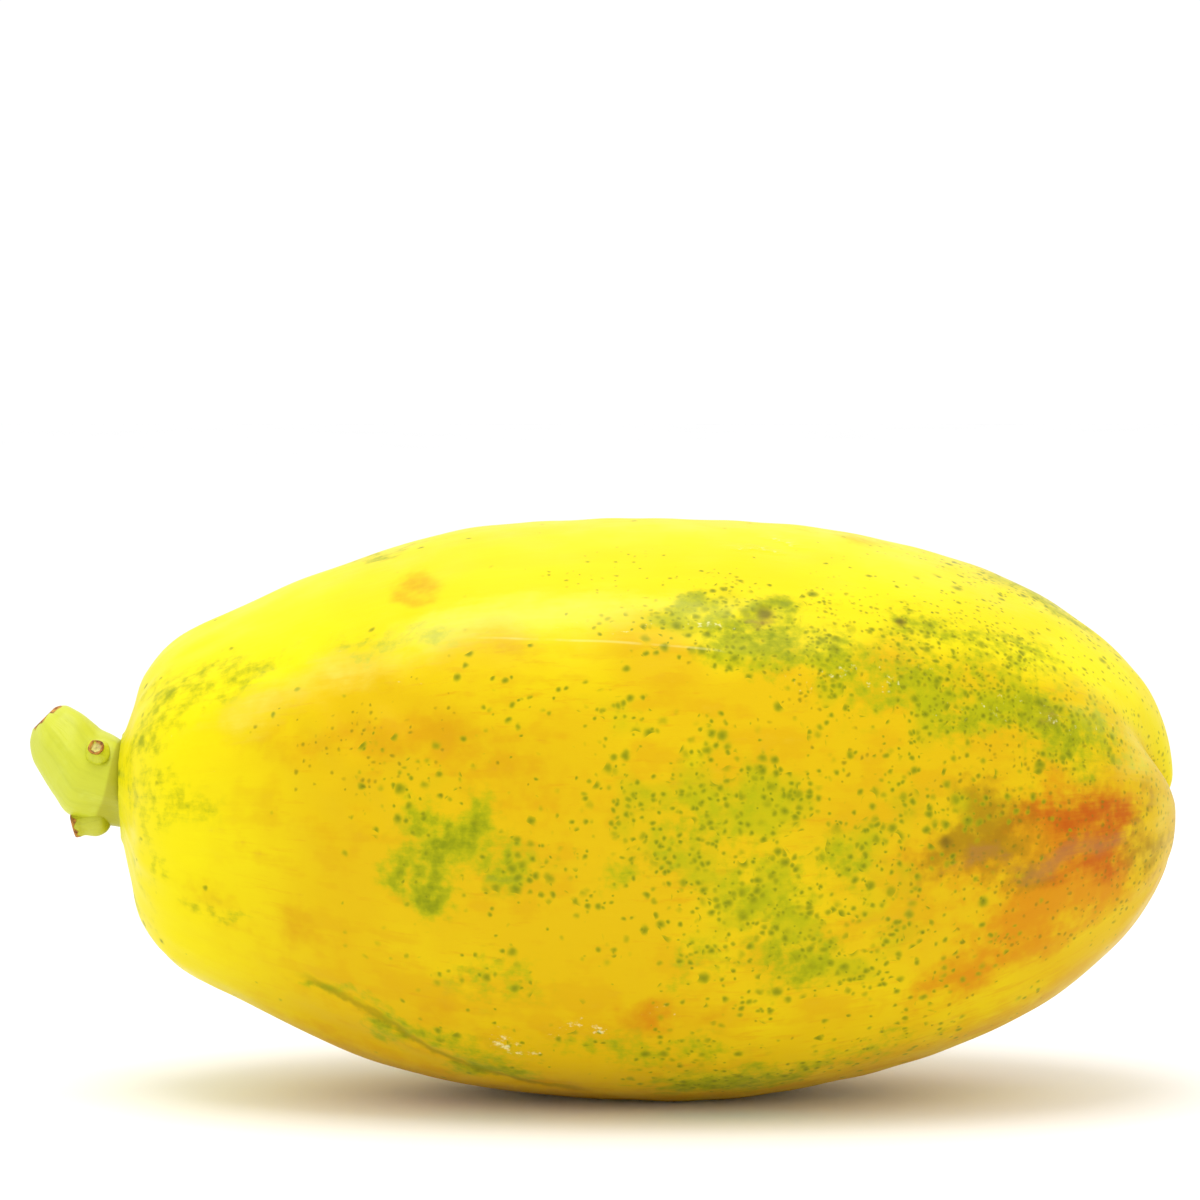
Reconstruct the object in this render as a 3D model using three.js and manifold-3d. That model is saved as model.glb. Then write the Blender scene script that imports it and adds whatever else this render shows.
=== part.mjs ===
// A ripe papaya, as picked: the whole fruit lying on its side, and the short fat stalk left on it.
// Units are millimetres and degrees. X runs from the stalk end to the blossom end, -Y is the front
// and Z is up. The origin is the middle of the small flat spot that the fruit rests on.
import * as THREE from "three";
import { mergeVertices } from "three/addons/utils/BufferGeometryUtils.js";
import Module from "manifold-3d";

const wasm = await Module();
wasm.setup();

// Driving dimensions of the fruit
const FRUIT_LENGTH = 250; // from the rim round the stalk to the tips of the blossom-end lobes
const BELLY_RADIUS = 70.5; // half the height at the widest station, over the ridges
const WIDTH_TO_HEIGHT = 1.03; // it lies on its flatter side
const AXIS_HEIGHT = 67; // the axis above the surface it lies on, at the belly: the underside is
// pressed flat by a millimetre
const REST_STATION = 129; // distance of the resting spot from the rim round the stalk

// Both ends curve up a little. On top of that rise the stalk sits above the middle of its end and the
// blossom scar below the middle of the other: lift is by how much, and reach how far out it fades.
const STALK_END = { rise: 2.4, lift: 6.2, reach: 15 };
const BLOSSOM_END = { rise: 4.3, lift: -3.6, reach: 18 };
const RISE_POWER = 1.8; // how late the rise comes

// The hollow that the stalk grows from
const HOLLOW_DEPTH = 6.5;
const HOLLOW_RADIUS = 8.8;

// Outline of one half: distance from the rim as a share of the length, and radius as a share of the
// belly's, from the floor of the stalk's hollow over the belly to the pit at the blossom end
const HOLLOW_FLOOR = HOLLOW_DEPTH / FRUIT_LENGTH;
const HOLLOW_EDGE = HOLLOW_RADIUS / BELLY_RADIUS;
const OUTLINE = [
  [HOLLOW_FLOOR, 0],
  [HOLLOW_FLOOR, 0.5 * HOLLOW_EDGE],
  [HOLLOW_FLOOR, HOLLOW_EDGE],
  [0.015, 0.153],
  [0.003, 0.172],
  [0.0065, 0.202],
  [0.0145, 0.302],
  [0.0252, 0.434],
  [0.056, 0.567],
  [0.12, 0.684],
  [0.215, 0.83],
  [0.33, 0.953],
  [0.45, 0.996],
  [0.57, 0.994],
  [0.68, 0.944],
  [0.775, 0.859],
  [0.86, 0.735],
  [0.925, 0.578],
  [0.968, 0.424],
  [0.991, 0.267],
  [1.0, 0.13],
  [0.996, 0.058],
  [0.985, 0],
];
const ROWS_PER_STRETCH = 3;
const SIDES = 72;

// Five soft ridges run the length of the fruit, unevenly spaced. Angles go round from the front (0)
// over the top (90).
const RIDGE_ANGLES = [-54, 40, 108, 172, 234];
const FLANK_FLATNESS = 0.19; // 0 is a round section, 1 a straight-sided one
const RIDGE_ROUNDING = 0.22;
const RIDGE_FADE = [12, 42]; // radii between which the ridges come in at each end
const RIDGE_SWING = -9; // the ridges swing down where the neck widens
const SWING_STATION = 52;
const SWING_REACH = 26;

// Grooves between the lobes at the blossom end, which run into the pit there
const GROOVES = [
  { angle: -66, depth: 1.6 },
  { angle: 38, depth: 5 },
  { angle: 108, depth: 4.2 },
  { angle: 168, depth: 4.2 },
  { angle: 236, depth: 4.2 },
];
const GROOVE_WIDTH = 13; // degrees
const GROOVE_SHARPNESS = 1.4; // 2 is a round-bottomed valley, 1 a sharp crease
const GROOVE_START = 222; // station
const GROOVE_CLOSING = 7; // radius inside which they run together into the pit

// Shallow hollows in the skin: station, angle, depth, length along the fruit and width round it
const DENTS = [
  { station: 84, angle: 12, depth: 1.3, length: 20, width: 13 },
  { station: 152, angle: 43, depth: 0.8, length: 9, width: 5 },
  { station: 66, angle: -58, depth: 1.1, length: 26, width: 6 },
  { station: 196, angle: 150, depth: 1.2, length: 24, width: 14 },
  { station: 60, angle: 196, depth: 1.0, length: 18, width: 12 },
];

// The stalk's rings from its foot in the hollow to the cut end: distance from the rim, depth and
// height above the surface, radius, and how far the ring leans back from upright in degrees
const STALK = [
  { at: [6.1, 0, 73.6], radius: 8.0, lean: 0 },
  { at: [2.2, 0, 73.1], radius: 10.0, lean: 0 },
  { at: [-1.2, 0, 74.2], radius: 10.9, lean: 0 },
  { at: [-5.7, 0, 75.6], radius: 10.8, lean: 7 },
  { at: [-9.1, 0.2, 77.0], radius: 10.9, lean: 17 },
  { at: [-11.7, 0.4, 80.1], radius: 10.1, lean: 20.5 },
  { at: [-14.2, 0.7, 83.2], radius: 8.8, lean: 27.5 },
  { at: [-16.3, 1.0, 85.5], radius: 7.6, lean: 33 },
  { at: [-17.6, 1.3, 87.4], radius: 5.75, lean: 39.5 },
  { at: [-17.9, 1.5, 88.8], radius: 3.9, lean: 44.5 },
  { at: [-17.8, 1.5, 89.05], radius: 3.2, lean: 45.5 },
];
const STALK_SIDES = 32;
const STALK_RIBS = 5;
const STALK_RIB_HEIGHT = 0.28;
const CUT_DISH = 0.7; // the dried cut end has sunk this far
const CUT_RIM = 0.78; // the dish's share of the cut end's radius

// Stubs of the side flowers' stalks: root inside the stalk, direction, length and radii
const STUBS = [
  { root: [-4.2, -7.7, 81.4], towards: [-0.04, -0.93, 0.35], length: 4.6, radius: 2.9, tip: 1.7 },
  { root: [-2.3, -1.2, 65.7], towards: [-0.95, -0.06, -0.25], length: 9, radius: 3.5, tip: 2.6 },
];
const STUB_SIDES = 16;
const STUB_DISH = 0.8; // depth of the hollow in a stub's broken end
const STUB_HEEL = 0.55; // radius of its rounded root as a share of its own, and where the rounding
const STUB_ROUNDED = 0.17; // ends as a share of the length
const STUB_SHOULDER = 0.45; // share of the length before it tapers
const STUB_NECK = 0.8; // share of the length where the rim starts to swell
const STUB_RIM = 1.08; // the rim's outer radius as a share of the tip's, and then its inner one
const STUB_MOUTH = 0.78;
const STUB_FLOOR = 0.55; // and the hollow's floor

const MERGE = 1e-4; // points closer than this are one

const radians = THREE.MathUtils.degToRad;
const smoothstep = THREE.MathUtils.smoothstep;

// How far the skin is below a round section at this angle, as a share of the radius: 0 on a ridge,
// and in the middle of a flank what a straight side would be cut back by.
function flankDip(angle) {
  for (let i = 0; i < RIDGE_ANGLES.length; i++) {
    const next = RIDGE_ANGLES[(i + 1) % RIDGE_ANGLES.length];
    const width = THREE.MathUtils.euclideanModulo(next - RIDGE_ANGLES[i], 360);
    const into = THREE.MathUtils.euclideanModulo(angle - RIDGE_ANGLES[i], 360);
    if (into <= width) {
      const arch = Math.sin((Math.PI * into) / width);
      const rounded = Math.hypot(arch, RIDGE_ROUNDING) - RIDGE_ROUNDING;
      const full = Math.hypot(1, RIDGE_ROUNDING) - RIDGE_ROUNDING;
      return (rounded / full) * (1 - Math.cos(radians(width / 2)));
    }
  }
  return 0;
}

// The smallest turn from one angle to another, from -180 to 180.
function turn(from, to) {
  return THREE.MathUtils.euclideanModulo(to - from + 180, 360) - 180;
}

// Height of the skin above the plain turned form, along its normal.
function relief(station, radius, angle) {
  const swing = RIDGE_SWING * Math.exp(-(((station - SWING_STATION) / SWING_REACH) ** 2));
  const ridges = smoothstep(radius, ...RIDGE_FADE) * flankDip(angle - swing);
  let height = -FLANK_FLATNESS * radius * ridges;

  const towardsTip = smoothstep(station, GROOVE_START, FRUIT_LENGTH) ** 2;
  const open = smoothstep(radius, 0, GROOVE_CLOSING);
  for (const groove of GROOVES) {
    const off = turn(groove.angle, angle) / GROOVE_WIDTH;
    height -= groove.depth * towardsTip * open * Math.exp(-(Math.abs(off) ** GROOVE_SHARPNESS));
  }

  for (const dent of DENTS) {
    const along = (station - dent.station) / dent.length;
    const across = (radians(turn(dent.angle, angle)) * radius) / dent.width;
    height -= dent.depth * Math.exp(-(along ** 2) - across ** 2);
  }
  return height;
}

// Height of the fruit's axis above the surface it lies on.
function axisHeight(station, radius) {
  const bend = (2 * station) / FRUIT_LENGTH - 1;
  const { rise, lift, reach } = bend < 0 ? STALK_END : BLOSSOM_END;
  return AXIS_HEIGHT + rise * Math.abs(bend) ** RISE_POWER + lift * Math.exp(-((radius / reach) ** 2));
}

// A lathe-turned blank whose points are then moved: place(row, angle) gives each new position.
function shapedLathe(profile, sides, place) {
  const blank = new THREE.LatheGeometry(profile, sides);
  const position = blank.getAttribute("position");
  for (let i = 0; i < position.count; i++) {
    const row = i % profile.length;
    const side = Math.floor(i / profile.length) % sides;
    const at = place(row, (360 * side) / sides);
    position.setXYZ(i, at.x, at.y, at.z);
  }
  blank.deleteAttribute("normal");
  blank.deleteAttribute("uv");
  return mergeVertices(blank, MERGE);
}

// Fruit
function fruitGeometry() {
  const outline = new THREE.SplineCurve(
    OUTLINE.map(([along, out]) => new THREE.Vector2(along * FRUIT_LENGTH, out * BELLY_RADIUS)),
  );
  const rows = (OUTLINE.length - 1) * ROWS_PER_STRETCH;
  const points = outline.getPoints(rows);
  const tangents = points.map((_, i) => outline.getTangent(i / rows));

  return shapedLathe(points, SIDES, (row, turned) => {
    const angle = -turned; // a lathe along X turns from the front down
    const station = points[row].x;
    const radius = Math.max(points[row].y, 0);
    const height = radius > MERGE ? relief(station, radius, angle) : 0; // the poles stay closed
    const along = station - tangents[row].y * height;
    const out = radius + tangents[row].x * height;
    const z = axisHeight(station, radius) + out * Math.sin(radians(angle));
    const y = -out * WIDTH_TO_HEIGHT * Math.cos(radians(angle));
    return new THREE.Vector3(along - REST_STATION, y, Math.max(z, 0));
  });
}

// A smooth line through one number of each of the stalk's rings, in the order of the rings
function alongStalk(number) {
  const line = new THREE.SplineCurve(STALK.map((ring, i) => new THREE.Vector2(i, number(ring))));
  return (t) => line.getPoint(t).y;
}

// Stalk with its dished cut end, before its stubs are joined on
function stalkGeometry() {
  const station = alongStalk(({ at }) => at[0]);
  const depth = alongStalk(({ at }) => at[1]);
  const height = alongStalk(({ at }) => at[2]);
  const radius = alongStalk((ring) => ring.radius);
  const lean = alongStalk((ring) => radians(ring.lean));
  const rings = (STALK.length - 1) * ROWS_PER_STRETCH;
  // Rows: the middle of the foot, the rings, the dished cut end and its middle
  const rows = [{ t: 0, share: 0, sunk: 0 }];
  for (let i = 0; i <= rings; i++) rows.push({ t: i / rings, share: 1, sunk: 0 });
  rows.push({ t: 1, share: CUT_RIM, sunk: CUT_DISH }, { t: 1, share: 0, sunk: CUT_DISH });

  const blank = rows.map(({ share }, i) => new THREE.Vector2(share, i));
  return shapedLathe(blank, STALK_SIDES, (row, angle) => {
    const { t, share, sunk } = rows[row];
    const out = new THREE.Vector3(-Math.cos(lean(t)), 0, Math.sin(lean(t)));
    const up = new THREE.Vector3(Math.sin(lean(t)), 0, Math.cos(lean(t)));
    const front = new THREE.Vector3(0, -1, 0);
    const ribs = STALK_RIB_HEIGHT * Math.cos(radians(STALK_RIBS * angle)) * Math.sin(Math.PI * t);
    const reach = share * (radius(t) + ribs);
    return new THREE.Vector3(station(t) - REST_STATION, depth(t), height(t))
      .addScaledVector(out, -sunk)
      .addScaledVector(front, reach * Math.cos(radians(angle)))
      .addScaledVector(up, reach * Math.sin(radians(angle)));
  });
}

// One stub: a tapered peg, with a raised rim round a dished end where the side stalk broke off
function stubGeometry({ root, towards, length, radius, tip }) {
  const profile = [
    [0, 0],
    [STUB_HEEL * radius, 0],
    [radius, STUB_ROUNDED * length],
    [radius, STUB_SHOULDER * length],
    [tip, STUB_NECK * length],
    [STUB_RIM * tip, length],
    [STUB_MOUTH * tip, length],
    [STUB_FLOOR * tip, length - STUB_DISH],
    [0, length - STUB_DISH],
  ].map(([out, along]) => new THREE.Vector2(out, along));
  const peg = new THREE.LatheGeometry(profile, STUB_SIDES);
  const up = new THREE.Vector3(0, 1, 0);
  const direction = new THREE.Vector3(...towards).normalize();
  peg.applyQuaternion(new THREE.Quaternion().setFromUnitVectors(up, direction));
  peg.translate(root[0] - REST_STATION, root[1], root[2]);
  peg.deleteAttribute("normal");
  peg.deleteAttribute("uv");
  return mergeVertices(peg, MERGE);
}

function toSolid(geometry) {
  return new wasm.Manifold(
    new wasm.Mesh({
      numProp: 3,
      vertProperties: geometry.getAttribute("position").array,
      triVerts: new Uint32Array(geometry.index.array),
    }),
  );
}

function toGeometry(solid) {
  const { vertProperties, triVerts } = solid.getMesh();
  const geometry = new THREE.BufferGeometry();
  geometry.setAttribute("position", new THREE.BufferAttribute(vertProperties, 3));
  geometry.setIndex(new THREE.BufferAttribute(triVerts, 1));
  geometry.computeVertexNormals();
  return geometry;
}

const papaya = new THREE.Group();

const skin = new THREE.MeshStandardMaterial({ color: 0xf6d416, roughness: 0.42, metalness: 0 });
const fruit = new THREE.Mesh(toGeometry(toSolid(fruitGeometry())), skin);
fruit.name = "fruit";
papaya.add(fruit);

const green = new THREE.MeshStandardMaterial({ color: 0xcdd84e, roughness: 0.5, metalness: 0 });
const stalkSolid = STUBS.map(stubGeometry)
  .map(toSolid)
  .reduce((joined, stub) => joined.add(stub), toSolid(stalkGeometry()));
const stalk = new THREE.Mesh(toGeometry(stalkSolid), green);
stalk.name = "stalk";
papaya.add(stalk);

export default papaya;
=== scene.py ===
# %% [markdown]
# # A ripe papaya
#
# The fruit is one ribbed, pear-shaped body lying on its side, with a short fat stalk left on it.
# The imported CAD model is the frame: it says how big everything is and where it sits. Each of its
# two solids is replaced here by a finer surface of the same form, and then painted with procedural
# materials. Lengths are worked out in millimetres and turned to metres when a mesh is made.

# %% Load the frame
import math

import bpy
import numpy as np
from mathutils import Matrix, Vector


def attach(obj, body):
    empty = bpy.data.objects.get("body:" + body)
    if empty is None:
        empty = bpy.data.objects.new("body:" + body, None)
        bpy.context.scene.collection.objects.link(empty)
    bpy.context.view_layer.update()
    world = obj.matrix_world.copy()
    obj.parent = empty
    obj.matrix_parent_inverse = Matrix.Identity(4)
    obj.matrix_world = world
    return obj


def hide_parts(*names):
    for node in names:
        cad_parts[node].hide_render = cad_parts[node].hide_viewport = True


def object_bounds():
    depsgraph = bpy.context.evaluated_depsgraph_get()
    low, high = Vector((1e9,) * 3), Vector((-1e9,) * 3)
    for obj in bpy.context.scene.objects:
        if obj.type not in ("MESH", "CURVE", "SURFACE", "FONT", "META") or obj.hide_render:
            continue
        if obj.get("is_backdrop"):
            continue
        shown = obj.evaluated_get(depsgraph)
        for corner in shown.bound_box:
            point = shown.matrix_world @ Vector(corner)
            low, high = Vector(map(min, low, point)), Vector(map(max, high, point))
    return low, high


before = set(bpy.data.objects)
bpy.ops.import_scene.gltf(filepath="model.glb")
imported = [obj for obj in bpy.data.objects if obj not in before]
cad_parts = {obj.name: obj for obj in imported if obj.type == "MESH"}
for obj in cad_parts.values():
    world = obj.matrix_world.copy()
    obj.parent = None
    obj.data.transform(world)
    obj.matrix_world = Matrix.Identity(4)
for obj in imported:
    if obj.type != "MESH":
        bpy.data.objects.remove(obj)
cad_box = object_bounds()
MM = 0.001
print("CAD box in mm:", [round(c / MM, 1) for corner in cad_box for c in corner])

# %% [markdown]
# ## The outline
#
# Half of the fruit's lengthwise section is a smooth line from the floor of the stalk's hollow, over
# the belly, to the pit at the blossom end. A line through points that were measured is the easiest
# to adjust, so it is a Catmull-Rom curve: it passes through each point, and its slope there is half
# the chord between the two neighbours.

# %% Outline of the fruit
FRUIT_LENGTH = 250  # from the rim round the stalk to the tips of the blossom-end lobes
BELLY_RADIUS = 70.5
HOLLOW_FLOOR = 6.5 / FRUIT_LENGTH
HOLLOW_EDGE = 8.8 / BELLY_RADIUS
OUTLINE = np.array([
    [HOLLOW_FLOOR, 0], [HOLLOW_FLOOR, 0.5 * HOLLOW_EDGE], [HOLLOW_FLOOR, HOLLOW_EDGE],
    [0.015, 0.153], [0.003, 0.172], [0.0065, 0.202], [0.0145, 0.302], [0.0252, 0.434],
    [0.056, 0.567], [0.12, 0.684], [0.215, 0.83], [0.33, 0.953], [0.45, 0.996], [0.57, 0.994],
    [0.68, 0.944], [0.775, 0.859], [0.86, 0.735], [0.925, 0.578], [0.968, 0.424], [0.991, 0.267],
    [1.0, 0.13], [0.996, 0.058], [0.985, 0],
]) * [FRUIT_LENGTH, BELLY_RADIUS]


def curve_through(points, t):
    """Places and unit directions on a Catmull-Rom curve, for t from 0 to 1. points has one extra
    point before the first and one after the last. Between points 1 and 2 the place is the cubic
    that starts and ends on them with the slopes (2 - 0) / 2 and (3 - 1) / 2."""
    stretches = len(points) - 3
    along = np.clip(t, 0, 1) * stretches
    first = np.minimum(along.astype(int), stretches - 1)
    w = (along - first)[:, None]
    p0, p1, p2, p3 = (points[first + k] for k in range(4))
    slope_1, slope_2 = (p2 - p0) / 2, (p3 - p1) / 2
    cubic = 2 * (p1 - p2) + slope_1 + slope_2
    square = 3 * (p2 - p1) - 2 * slope_1 - slope_2
    place = ((cubic * w + square) * w + slope_1) * w + p1
    direction = (3 * cubic * w + 2 * square) * w + slope_1
    return place, direction / np.maximum(np.linalg.norm(direction, axis=1, keepdims=True), 1e-9)


def evenly(points, count):
    """Values of t that step along the curve by equal lengths, and the whole length. The running
    length of a dense polyline is inverted by interpolation."""
    t = np.linspace(0, 1, 4001)
    place, _ = curve_through(points, t)
    length = np.concatenate([[0], np.cumsum(np.linalg.norm(np.diff(place, axis=0), axis=1))])
    return np.interp(np.linspace(0, length[-1], count), length, t), length[-1]


outline = np.vstack([OUTLINE[:1], OUTLINE, OUTLINE[-1:]])
ROWS, SIDES = 316, 304
row_t, meridian = evenly(outline, ROWS)
row_place, row_direction = curve_through(outline, row_t)
print(f"the half outline is {meridian:.0f} mm long, one row each {meridian / (ROWS - 1):.2f} mm")

# %% [markdown]
# ## Ridges, grooves and hollows
#
# A papaya grows from five seed chambers, which show as five soft ridges with flatter flanks between
# them, and as five lobes that close round the blossom scar. The skin also has hollows where
# neighbours pressed on it and a faint unevenness all over. Everything is one height above the
# turned form, as a function of the station along the fruit and the angle round it, so it can be
# added up term by term.

# %% Ridges and flanks
RIDGE_ANGLES = [-54, 40, 108, 172, 234]  # 0 is the front, 90 the top
FLANK_FLATNESS = 0.19
RIDGE_ROUNDING = 0.22
RIDGE_FADE = (12, 42)  # radii between which the ridges come in at each end
RIDGE_SWING, SWING_STATION, SWING_REACH = -9, 52, 26  # at the neck they turn about the axis


def fade(x, start, end):
    """0 before start, 1 after end, and 3t^2 - 2t^3 between."""
    t = np.clip((x - start) / (end - start), 0, 1)
    return t * t * (3 - 2 * t)


def flank_dip(angle):
    """Depth below a round section as a share of the radius. Over each flank it is a rounded arch
    sqrt(sin^2 + rounding^2), scaled to what a straight side would be cut back by."""
    dip = np.zeros_like(angle)
    for start, end in zip(RIDGE_ANGLES, RIDGE_ANGLES[1:] + [RIDGE_ANGLES[0] + 360]):
        width = end - start
        into = (angle - start) % 360
        arch = np.hypot(np.sin(np.pi * into / width), RIDGE_ROUNDING) - RIDGE_ROUNDING
        full = math.hypot(1, RIDGE_ROUNDING) - RIDGE_ROUNDING
        depth = arch / full * (1 - math.cos(math.radians(width / 2)))
        dip = np.where(into <= width, depth, dip)
    return dip


def turn(start, end):
    """The smallest turn from one angle to another, -180 to 180."""
    return (end - start + 180) % 360 - 180


# %% Grooves and hollows
GROOVES = [(-66, 1.6), (38, 5), (108, 4.2), (168, 4.2), (236, 4.2)]  # angle and depth
GROOVE_START, GROOVE_CLOSING = 222, 7  # station they start at, radius inside which they fade out
GROOVE_WIDTH, GROOVE_SHARPNESS = 13, 1.4  # degrees; 2 is a round-bottomed valley, 1 a sharp crease
# Hollows: station, angle, depth, half-length along the fruit, half-width round it
HOLLOWS = [
    (84, 12, 1.3, 20, 13), (152, 43, 0.8, 9, 5), (66, -58, 1.1, 26, 6),
    (196, 150, 1.2, 24, 14), (60, 196, 1.0, 18, 12),
]


def relief(station, radius, angle):
    """Height of the main form in mm: minus the flanks, minus a sharp-bottomed valley
    exp(-|offset|^1.4) for each groove, which deepens towards the tip, minus a round hollow
    exp(-along^2 - across^2) for each dent."""
    swing = RIDGE_SWING * np.exp(-(((station - SWING_STATION) / SWING_REACH) ** 2))
    height = -FLANK_FLATNESS * radius * fade(radius, *RIDGE_FADE) * flank_dip(angle - swing)
    closing = fade(station, GROOVE_START, FRUIT_LENGTH) ** 2 * fade(radius, 0, GROOVE_CLOSING)
    for groove, depth in GROOVES:
        offset = np.abs(turn(groove, angle) / GROOVE_WIDTH)
        height -= depth * closing * np.exp(-(offset**GROOVE_SHARPNESS))
    for at, towards, depth, length, width in HOLLOWS:
        along = (station - at) / length
        across = np.radians(turn(towards, angle)) * radius / width
        height -= depth * np.exp(-(along**2) - across**2)
    return height


# %% [markdown]
# ## Unevenness of the skin
#
# Real skin is never perfectly fair. A sum of waves with random phases gives a gentle swelling and
# sinking that closes on itself round the fruit, because each wave fits a whole number of times
# into the full turn. The same sum, on its own scale, later bends the edges of the coloured patches.

# %% Random waves
def waves(station, angle, round_turns, spacing, count, seed):
    """A smooth random field about zero, mostly between -2 and 2: a sum of count cosines with a
    whole number of waves round the fruit, up to round_turns, and wavelengths of at least spacing
    mm along it, scaled so that the mean of its square is 1."""
    rng = np.random.default_rng(seed)
    field = 0
    for _ in range(count):
        around = rng.integers(-round_turns, round_turns + 1)
        along = rng.uniform(-1, 1) / spacing
        phase = rng.uniform(0, 2 * np.pi)
        field = field + np.cos(np.radians(angle) * around + 2 * np.pi * along * station + phase)
    return field * math.sqrt(2 / count)


# %% Creases and lines
def crease(station, angle, radius, at, towards, length, width, slant):
    """One short fold in the skin: a narrow valley exp(-across^2) with its far side raised, running
    at a slant (degrees) to the fruit's length and fading at both ends."""
    x = station - at
    y = np.radians(turn(towards, angle)) * radius
    c, s = math.cos(math.radians(slant)), math.sin(math.radians(slant))
    along, across = (c * x + s * y) / length, (c * y - s * x) / width
    return np.exp(-(along**2)) * (0.6 * np.exp(-((across - 1.8) ** 2)) - np.exp(-(across**2)))


# Two long lines in the skin, as stations and the angles there: the crest of a ridge, pinched to a
# fine edge, and a pleat low on the neck
CREST = [(84, 97, 115, 142, 150), (41.5, 40.2, 39.2, 37.5, 35)]
PLEAT = [(42, 50, 62, 73, 85, 100, 114), (-41, -43, -46.5, -51, -57.5, -61.5, -64)]
# Short creases: depth, then station, angle, half-length, half-width and slant
CREASES = [(0.55, 151, 47, 6, 1.5, 32), (0.3, 168, 44, 9, 1.6, -8), (0.4, 221, 31, 3.5, 1.2, -40)]
LINE_END = 8  # mm over which a line fades in and out
NECK = (62, 22, 24, 26)  # lumpy patch: station and reach along it, angle and reach round it


def from_line(line, station, radius, angle):
    """Distance in mm round the fruit from a line, kept within 20, and how much of the line is
    there: 1 along it, fading to 0 over its last 8 mm at both ends."""
    stations, angles = line
    across = np.radians(turn(np.interp(station, stations, angles), angle)) * radius
    starting = fade(station, stations[0], stations[0] + LINE_END)
    ending = fade(-station, -stations[-1], LINE_END - stations[-1])
    return np.clip(across, -20, 20), starting * ending


# %% Low relief
def fine_relief(station, radius, angle):
    """Low relief in mm on top of the main form: soft swellings, fine ribs running out from the
    stalk, small lumps on the neck, a few creases, and along the two lines a small hump or valley
    exp(-(distance / width)^2)."""
    height = 0.22 * waves(station, angle, 7, 40, 14, 3)
    height = height + 0.07 * waves(station, angle, 26, 14, 24, 4)
    ribs = np.cos(np.radians(31 * angle)) + np.cos(np.radians(19 * angle) + 1.3)
    height += 0.07 * ribs * np.exp(-station / 26)
    at, length, towards, width = NECK
    neck = np.exp(-(((station - at) / length) ** 2) - (turn(towards, angle) / width) ** 2)
    height += 0.34 * neck * waves(station, angle, 34, 9, 24, 5)
    for depth, *shape in CREASES:
        height += depth * crease(station, angle, radius, *shape)
    away, there = from_line(CREST, station, radius, angle)
    height += 0.3 * there * np.exp(-((away / 2) ** 2))
    away, there = from_line(PLEAT, station, radius, angle)
    away = away + 1.5 * waves(station, angle, 9, 25, 10, 6)
    height -= 0.4 * there * np.exp(-((away / 2.2) ** 2))
    return height * fade(radius, 4, 26)


# %% [markdown]
# ## The fruit's surface
#
# Each point of the outline is carried round the axis. The height moves it along the outline's
# normal. The axis itself is a little higher towards both ends, and the stalk and the blossom scar
# sit off the middle of their ends. Points below the table are laid flat on it: that is the soft
# spot the fruit rests on.

# %% Carry the outline round the axis
REST_STATION = 129  # where the resting spot is, and so the frame's origin
WIDTH_TO_HEIGHT = 1.03  # it lies on its flatter side
AXIS_HEIGHT = 67  # at the middle, low enough to press a flat spot on the underside
RISE_POWER = 1.8  # how late the rise towards the ends comes
STALK_END, BLOSSOM_END = (2.4, 6.2, 15), (4.3, -3.6, 18)  # rise, lift, and radius of the lift
station, radius = row_place[:, :1], np.maximum(row_place[:, 1:], 0)
angle = np.arange(SIDES)[None, :] * 360 / SIDES


def axis_height(station, radius):
    """Height of the axis over the table in mm: its height at the middle, plus a rise with the
    1.8th power of the distance from there, plus a lift exp(-(radius/reach)^2) near each pole."""
    bend = 2 * station / FRUIT_LENGTH - 1
    stalk_end, blossom_end = (
        rise * np.abs(bend) ** RISE_POWER + lift * np.exp(-((radius / reach) ** 2))
        for rise, lift, reach in (STALK_END, BLOSSOM_END)
    )
    return AXIS_HEIGHT + np.where(bend < 0, stalk_end, blossom_end)


height = relief(station, radius, angle) + fine_relief(station, radius, angle)
height = np.where(radius > 1e-4, height, 0)
along = station - row_direction[:, 1:] * height - REST_STATION
out = radius + row_direction[:, :1] * height
turned = np.radians(angle)
fruit_points = np.stack([
    along,
    -WIDTH_TO_HEIGHT * out * np.cos(turned),
    np.maximum(axis_height(station, radius) + out * np.sin(turned), 0),
], axis=-1)
for name, corner in (("lowest", fruit_points.min((0, 1))), ("highest", fruit_points.max((0, 1)))):
    print("fruit's", name, "corner in mm:", corner.round(1))


# %% [markdown]
# ## From a grid of points to a mesh
#
# A closed surface on a grid has four-sided faces between neighbouring rows, and a fan of triangles
# round a single point at each pole. The enclosed volume tells which way the faces point: if it
# comes out negative, every face is turned round.

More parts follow.
